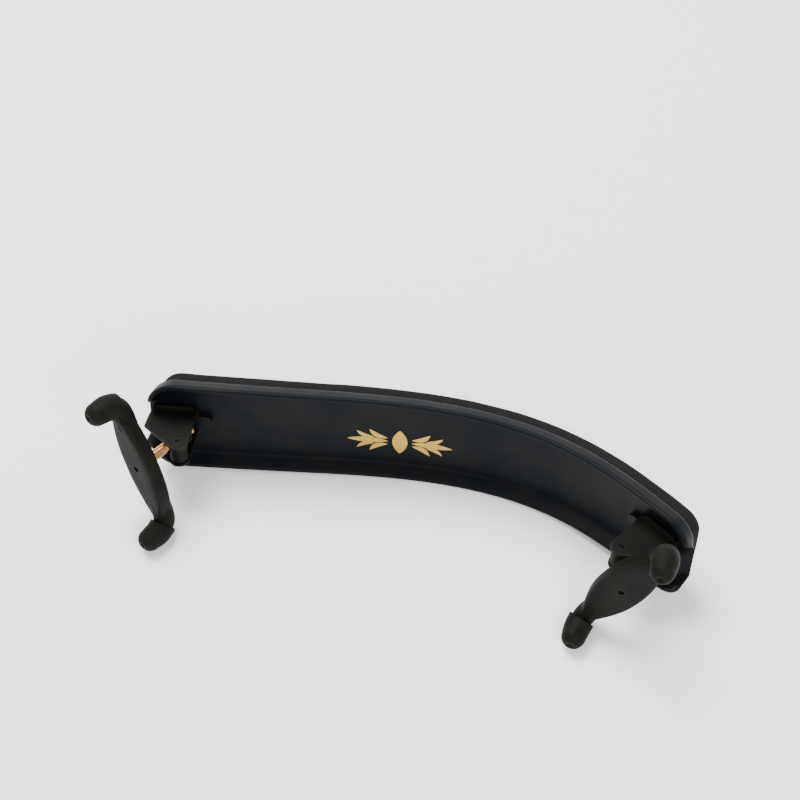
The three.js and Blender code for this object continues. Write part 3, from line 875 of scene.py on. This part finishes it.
BARREL = 4
BRACKET_HALF = CHEEK_INNER - PLAY
SCREW_OFFSET = 5.4
BOSS_TOP, BOSS_BOTTOM, BOSS_RADIUS = 1.2, -9.4, 4.4
NECK = (0, SCREW_OFFSET), (-3.8, 3.8), (-3.6, 0.6)
WEB = (1.2, SCREW_OFFSET), (-1.6, 1.6), (BOSS_BOTTOM + 1.5, 0)
INSERT_RADIUS, INSERT_TOP, INSERT_BOTTOM = 3.35, 0.7, -8.2
INSERT_PLAY, INSERT_GAP = 0.12, 0.15
SCREW_CLEARANCE = 2.8


def block(x, y, z):
    """A box from its spans along the three axes."""
    corners = np.array([[x[0], y[0]], [x[1], y[0]], [x[1], y[1]], [x[0], y[1]]])
    return prism(corners, *z)


for side in SIDES:
    barrel = across_y(bar(BARREL, -BRACKET_HALF, BRACKET_HALF, lip=0.4))
    boss = shifted(bar(BOSS_RADIUS, BOSS_BOTTOM, BOSS_TOP, lip=0.4), x=SCREW_OFFSET)
    parts = [barrel, boss, block(*NECK), block(*WEB)]
    bracket = fuse(side + "_folding_bracket", parts, FOOT_FINISH, voxel=0.22)
    pin_hole = across_y(bar(PIN_HOLE, -6, 6))
    seat = bar(INSERT_RADIUS + INSERT_PLAY, INSERT_BOTTOM - INSERT_GAP, BOSS_TOP + 0.02)
    seat = shifted(seat, x=SCREW_OFFSET)
    clearance = shifted(bar(SCREW_CLEARANCE, BOSS_BOTTOM - 1, BARREL + 1), x=SCREW_OFFSET)
    put(bore(bracket, pin_hole, seat, clearance), BRACKETS[side])
    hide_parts(side + "_bracket")
    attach(bracket, side + "_bracket")


# ---- The brass inserts and screws ----
# Turned brass. The insert is knurled and pressed into the boss; the screw is M5 by 0.8 and is fixed
# in its fork, so it turns with the fork and climbs through the insert.

SCREW_CREST, SCREW_ROOT, SCREW_PITCH = 2.4, 2.12, 0.8
FLANK_GAIN, FLANK_CUT = 1.35, 0.15 # the wave's height before its crests and roots are cut, and the cut
SCREW_TAIL = -12.5
TAIL_IN, TAIL_SLOPE = 0.75, 1.1    # how far the tail's end is drawn in, and how fast that fades
FORK_THICK, HUB_HIGH, SOCKET = 7.3, 1.2, 5.6
INSERT_BORE = 2.62
INSERT_OUTLINE = [
    (INSERT_BORE, INSERT_BOTTOM),
    (3.1, INSERT_BOTTOM),
    (INSERT_RADIUS, -7.9),
    (INSERT_RADIUS, -6.9),
    (INSERT_RADIUS, -1.2),
    (INSERT_RADIUS, 0.4),
    (3.1, INSERT_TOP),
    (2.85, INSERT_TOP),
    (INSERT_BORE, 0.45),
    (INSERT_BORE, INSERT_BOTTOM),
]
KNURLED_ROWS, KNURLS, KNURL_DEEP = (3, 4), 30, 0.1


def brass(name, colour, rough):
    """Bright drawn brass: tarnish dulls it in soft patches, and fine tool marks break its gloss."""
    made, tree, shader = start_material(name)
    patches = texture(tree, "ShaderNodeTexNoise", 3, Detail=4.0)
    marks = texture(tree, "ShaderNodeTexNoise", 0.15, Detail=2.0)
    dark = [c * share for c, share in zip(colour, (0.62, 0.55, 0.5))]
    paint(tree, shader, patches.outputs["Fac"], dark, colour, (rough + 0.1, rough - 0.04), (0.32, 0.68))
    add_bump(tree, shader, marks.outputs["Fac"], 0.25, 0.01)
    shader.inputs["Metallic"].default_value = 1
    return made


BRASS_FINISH = brass("turned_brass", (0.80, 0.47, 0.22), 0.27)


def revolve(radii, heights, sides):
    """A profile turned about z. Each of its rows is a height, with a radius for every side."""
    turn = np.linspace(0, 2 * math.pi, sides, endpoint=False)
    x, y = radii * np.cos(turn), radii * np.sin(turn)
    z = np.outer(heights, np.ones(sides))
    rings = np.arange(x.size).reshape(x.shape)
    return np.stack([x, y, z], -1).reshape(-1, 3), np.hstack([rings, rings[:, :1]])


def insert():
    """A closed ring: bore, chamfer, a knurled outside with two plain bands, and back down."""
    sides = 90
    turn = np.linspace(0, 2 * math.pi, sides, endpoint=False)
    radii, heights = np.array(INSERT_OUTLINE).T
    knurled = np.isin(np.arange(len(radii)), KNURLED_ROWS)[:, None]
    rows = radii[:, None] - KNURL_DEEP * (1 - np.cos(KNURLS * turn)) / 2 * knurled
    points, rings = revolve(rows, heights, sides)
    return points, quads(rings)


def threaded_rod(tail, head):
    """Radius over turn and height: a triangle wave that climbs one pitch a turn, right handed, with
    its crests and roots cut flat. It is drawn in at the tail, and the ends close on a middle point."""
    heights = np.arange(tail, head, SCREW_PITCH / 9)
    sides = 44
    turn = np.linspace(0, 1, sides, endpoint=False)
    phase = (heights[:, None] / SCREW_PITCH - turn) % 1
    wave = np.abs(2 * phase - 1)
    flank = np.clip(FLANK_GAIN * wave - FLANK_CUT, 0, 1)
    radii = SCREW_ROOT + (SCREW_CREST - SCREW_ROOT) * flank
    radii = np.minimum(radii, SCREW_CREST - TAIL_IN + TAIL_SLOPE * (heights - tail)[:, None])
    points, rings = revolve(radii, heights, sides)
    ends = np.array([[0, 0, heights[0]], [0, 0, heights[-1]]])
    fans = [[int(a), int(b), len(points)] for a, b in zip(rings[0], rings[0][1:])]
    fans += [[int(b), int(a), len(points) + 1] for a, b in zip(rings[-1], rings[-1][1:])]
    return np.vstack([points, ends]), quads(rings).tolist() + fans


for side in SIDES:
    points, faces = insert()
    nut = weld(make_piece(side + "_knurled_insert", moved(points, SCREWS[side]), faces, BRASS_FINISH))
    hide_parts(side + "_threaded_insert")
    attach(nut, side + "_bracket")

    reach = (FORKS[side][:3, 3] - SCREWS[side][:3, 3]) @ SCREWS[side][:3, 2]
    points, faces = threaded_rod(SCREW_TAIL, reach - FORK_THICK - HUB_HIGH + SOCKET - PLAY)
    rod = moved(points, SCREWS[side])
    screw = make_piece(side + "_threaded_screw", rod, faces, BRASS_FINISH, smooth_below=25)
    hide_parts(side + "_height_screw")
    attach(screw, side + "_fork")


# ---- The forks ----
# One moulding each: a lens-shaped bar with rounded edges, a hub behind for the screw, a small blind
# recess in front, and two arms that turn forward over the edge of the violin.

HALF_BAR, HALF_WIDE, HALF_END = 26.4, 9.6, 3.6
HUB_RADIUS = 5.2
RECESS_RADIUS, RECESS_DEEP = 1.5, 0.9
# One quarter of the lens, as the x and y of a Bezier curve's four points.
LENS = [
    [HALF_END, HALF_BAR],
    [HALF_WIDE * 0.93, HALF_BAR * 0.56],
    [HALF_WIDE, HALF_BAR * 0.3],
    [HALF_WIDE, 0],
]
ARM_PATH = np.array([[20, -4.3], [26, -4.2], [30.8, -2.9], [33.4, 1.3], [34, 6.8]])
ARM_RADIUS, ARM_SWELL, ARM_THINNING = 4.6, 0.15, 0.45
SWELL_FROM, SWELL_TO = 4, 14       # distances along the arm; past the swell it thins
THINNED_AT = 17


def bezier(a, b, c, d, t):
    a, b, c, d = (np.array(p, float) for p in (a, b, c, d))
    t = t[:, None]
    return (1 - t) ** 3 * a + 3 * t * (1 - t) ** 2 * b + 3 * t * t * (1 - t) * c + t ** 3 * d


def fork_bar(rows=96, sides=72, edge=5.0):
    """Along y, a section whose half width follows the lens outline; each section is a superellipse,
    nearly flat in front and behind, that narrows to the ends."""
    along = np.linspace(-HALF_BAR, HALF_BAR, rows)
    half_lens = bezier(*LENS, np.linspace(0, 1, 60))
    wide = np.interp(np.abs(along), half_lens[::-1, 1], half_lens[::-1, 0])
    turn = np.linspace(0, 2 * math.pi, sides, endpoint=False)
    power = 2 / edge
    x = np.sign(np.cos(turn)) * np.abs(np.cos(turn)) ** power
    z = np.sign(np.sin(turn)) * np.abs(np.sin(turn)) ** power
    deep = (z - 1) * FORK_THICK / 2
    points = np.stack(np.broadcast_arrays(wide[:, None] * x, along[:, None], deep), -1)
    rings = np.arange(rows * sides).reshape(rows, sides)
    faces = quads(np.hstack([rings, rings[:, :1]])).tolist()
    return points.reshape(-1, 3), [rings[0].tolist(), rings[-1].tolist()[::-1], *faces]


def arm_line(end, steps=80):
    """The arm's middle line in y and z, a Catmull-Rom curve through its path, and the distance of
    each of its points along it."""
    path = np.vstack([2 * ARM_PATH[0] - ARM_PATH[1], ARM_PATH, 2 * ARM_PATH[-1] - ARM_PATH[-2]])
    t = np.linspace(0, len(ARM_PATH) - 1 - 1e-6, steps)
    i = t.astype(int)
    u = (t - i)[:, None]
    a, b, c, d = path[i], path[i + 1], path[i + 2], path[i + 3]
    line = b + 0.5 * u * (c - a + u * (2 * a - 5 * b + 4 * c - d + u * (3 * (b - c) + d - a)))
    line = line * [end, 1]
    return line, np.append(0, np.cumsum(np.linalg.norm(np.diff(line, axis=0), axis=1)))


def sweep(line, far, profile, sides=36, ripple=None):
    """A profile of [distance, radius] carried along a line in y and z, whose points lie at the
    distances far. Past its end it runs on straight. ripple(distance, turn) adds to the radius."""
    distance, radius = np.asarray(profile, float).T
    ahead = unit(line[-1] - line[-2])
    beyond = np.maximum(distance - far[-1], 0)[:, None]

    def at_distance(values):
        return np.stack([np.interp(distance, far, values[:, k]) for k in range(2)], -1)

    spine = at_distance(line) + beyond * ahead
    slope = np.gradient(line, axis=0)
    along = at_distance(slope / np.linalg.norm(slope, axis=1)[:, None])
    along = along / np.linalg.norm(along, axis=1)[:, None]
    turn = np.linspace(0, 2 * math.pi, sides, endpoint=False)
    radii = radius[:, None] + (ripple(distance[:, None], turn) if ripple else 0)
    out = radii * np.cos(turn)
    x = radii * np.sin(turn)
    y = spine[:, :1] - along[:, 1:] * out
    z = spine[:, 1:] + along[:, :1] * out
    rings = np.arange(x.size).reshape(x.shape)
    return np.stack([x, y, z], -1).reshape(-1, 3), np.hstack([rings, rings[:, :1]])


for side in SIDES:
    arms = []
    for end in (-1, 1):
        line, far = arm_line(end)
        along = np.clip((far - SWELL_FROM) / (SWELL_TO - SWELL_FROM), 0, 1)
        swell = ARM_SWELL * np.sin(math.pi * along)
        thinning = ARM_THINNING * np.clip((far - SWELL_TO) / (THINNED_AT - SWELL_TO), 0, 1)
        points, rings = sweep(line, far, np.column_stack([far, ARM_RADIUS + swell - thinning]))
        ends = [rings[0][:-1].tolist(), rings[-1][:-1].tolist()[::-1]]
        arms.append((points, ends + quads(rings).tolist()))
    hub = bar(HUB_RADIUS, -FORK_THICK - HUB_HIGH, -FORK_THICK / 2, lip=0.5)
    fork = fuse(side + "_moulded_fork", [fork_bar(), hub, *arms], FOOT_FINISH, voxel=0.36, rounds=5)
    recess = bar(RECESS_RADIUS, -RECESS_DEEP, 2)
    socket = bar(SCREW_CREST + PLAY, -FORK_THICK - HUB_HIGH - 1, -FORK_THICK - HUB_HIGH + SOCKET)
    put(bore(fork, recess, socket), FORKS[side])
    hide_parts(side + "_fork")
    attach(fork, side + "_fork")


# ---- The rubber sleeves ----
# Soft moulded caps pulled over the arms: a dimple in the closed tip, a rolled lip at the open end,
# and a few shallow creases inside the bend.

SLEEVE_OUTER, SLEEVE_INNER = 5.8, 4.75
SLEEVE_TAPER = 0.62                # how much thinner a sleeve is at its tip
LINING_TAPER = 0.7 * SLEEVE_TAPER
SLEEVE_FROM = 12.4
LIP_SWELL, LIP_OUT, LIP_LONG = 0.08, 0.05, 1.6
DIMPLE_RADIUS, DIMPLE_DEEP = 1.5, 1.5
CREASE_AT, CREASE_SPREAD, CREASE_DEEP, CREASE_RATE = 15.2, 1.9, 0.16, 4.6
CORE_END = 1.6                     # how far the hollow inside reaches past the arm's end


def rubber(name, dark, light, rough):
    """Rubber: a dull skin with a faint bloom, finely uneven."""
    made, tree, shader = start_material(name)
    bloom = texture(tree, "ShaderNodeTexNoise", 5, Detail=5.0, Roughness=0.65)
    skin = texture(tree, "ShaderNodeTexNoise", 0.5, Detail=3.0)
    paint(tree, shader, bloom.outputs["Fac"], dark, light, (rough - 0.07, rough + 0.08), (0.35, 0.7))
    add_bump(tree, shader, skin.outputs["Fac"], 0.5, 0.025)
    shader.inputs["Specular IOR Level"].default_value = 0.08
    return made


RUBBER_FINISH = rubber("sleeve_rubber", (0.0026, 0.0024, 0.0018), (0.0072, 0.0064, 0.0044), 0.62)


def sleeve(end):
    """Outer skin from the tip's pole back to the lip, round the lip, and the lining to its own pole."""
    line, far = arm_line(end)
    tip = far[-1]

    def drawn_in(distance):
        """How much of the taper is reached: none at the lip, all of it at the tip."""
        return np.clip((distance - SLEEVE_FROM - 2) / (tip - SLEEVE_FROM - 2), 0, 1) ** 2

    dome = np.linspace(math.pi / 2, 0, 24)
    outer_tip, inner_tip = SLEEVE_OUTER - SLEEVE_TAPER, SLEEVE_INNER - LINING_TAPER
    round_tip = outer_tip * np.cos(dome)
    dimple = DIMPLE_DEEP * np.exp(-((round_tip / DIMPLE_RADIUS) ** 2))
    outer = np.column_stack([tip + outer_tip * np.sin(dome) - dimple, round_tip])
    down = np.linspace(tip, SLEEVE_FROM + LIP_LONG, 26)[1:]
    skin = np.column_stack([down, SLEEVE_OUTER - SLEEVE_TAPER * drawn_in(down)])
    bead = np.radians(np.linspace(20, -200, 12))
    middle = (SLEEVE_OUTER + SLEEVE_INNER) / 2 + LIP_OUT
    thick = (SLEEVE_OUTER - SLEEVE_INNER) / 2 + LIP_SWELL
    lip = np.column_stack([SLEEVE_FROM + thick + thick * np.sin(bead), middle + thick * np.cos(bead)])
    up = np.linspace(SLEEVE_FROM + LIP_LONG, tip, 12)
    lining = np.column_stack([up, SLEEVE_INNER - LINING_TAPER * drawn_in(up)])
    inner_dome = np.linspace(0, math.pi / 2, 8)[1:]
    inner = np.column_stack([tip + CORE_END * np.sin(inner_dome), inner_tip * np.cos(inner_dome)])
    profile = np.vstack([outer, skin, lip, lining, inner])
    is_outer = np.arange(len(profile)) < len(outer) + len(skin)

    def creases(distance, turn):
        inside = np.clip(np.cos(turn), 0, 1) ** 2
        near_bend = np.exp(-(((distance - CREASE_AT) / CREASE_SPREAD) ** 2))
        waves = 0.5 + 0.5 * np.cos(distance * CREASE_RATE)
        return -CREASE_DEEP * is_outer[:, None] * inside * near_bend * waves

    points, rings = sweep(line, far, profile, sides=48, ripple=creases)
    return points, quads(rings)


for side in SIDES:
    for level, end in (("upper", SIDES[side]), ("lower", -SIDES[side])):
        points, faces = sleeve(end)
        cap = make_piece(f"{side}_{level}_rubber_cap", moved(points, FORKS[side]), faces, RUBBER_FINISH)
        weld(cap, apart=0.02)
        smooth(cap, SHARP_SOFT)
        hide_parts(f"{side}_{level}_sleeve")
        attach(cap, side + "_fork")


# ---- Camera, floor and light ----
# A three-quarter view from above, with a soft box over the rest and a bright room round it.

EYE = (0.14474, -0.37274, 0.71602)
GAZE = tuple(math.radians(angle) for angle in (32.953, 1.910, 17.662))
LENS_LENGTH = 83.39
camera_data = bpy.data.cameras.new("camera")
camera_data.lens = LENS_LENGTH
camera_data.sensor_width = 36
camera = bpy.data.objects.new("camera", camera_data)
camera.location = EYE
camera.rotation_euler = Euler(GAZE)
bpy.context.scene.collection.objects.link(camera)
bpy.context.scene.camera = camera

bpy.ops.mesh.primitive_plane_add(size=6)
floor = bpy.context.object
floor.name = "floor"
floor_finish, tree, shader = start_material("floor_paper")
shader.inputs["Base Color"].default_value = (0.96, 0.96, 0.955, 1)
shader.inputs["Roughness"].default_value = 0.9
floor.data.materials.append(floor_finish)

world = bpy.data.worlds.new("room")
world.use_nodes = True
world.node_tree.nodes["Background"].inputs["Color"].default_value = (1, 1, 0.99, 1)
world.node_tree.nodes["Background"].inputs["Strength"].default_value = 1.2
bpy.context.scene.world = world


def soft_box(name, spot, size, power, target=(0, 0, 0.03)):
    """A round area light that faces its target. Places and sizes are metres, power is watts."""
    lamp = bpy.data.lights.new(name, "AREA")
    lamp.shape = "DISK"
    lamp.size = size
    lamp.energy = power
    box = bpy.data.objects.new(name, lamp)
    box.location = spot
    aim = unit(np.array(target) - np.array(spot))
    box.rotation_euler = Euler((math.acos(-aim[2]), 0, math.atan2(aim[1], aim[0]) - math.pi / 2))
    bpy.context.scene.collection.objects.link(box)


soft_box("key_light", (-0.5, 0.5, 1.4), 0.9, 46)
soft_box("fill_light", (0.7, -0.9, 1.0), 0.8, 12)
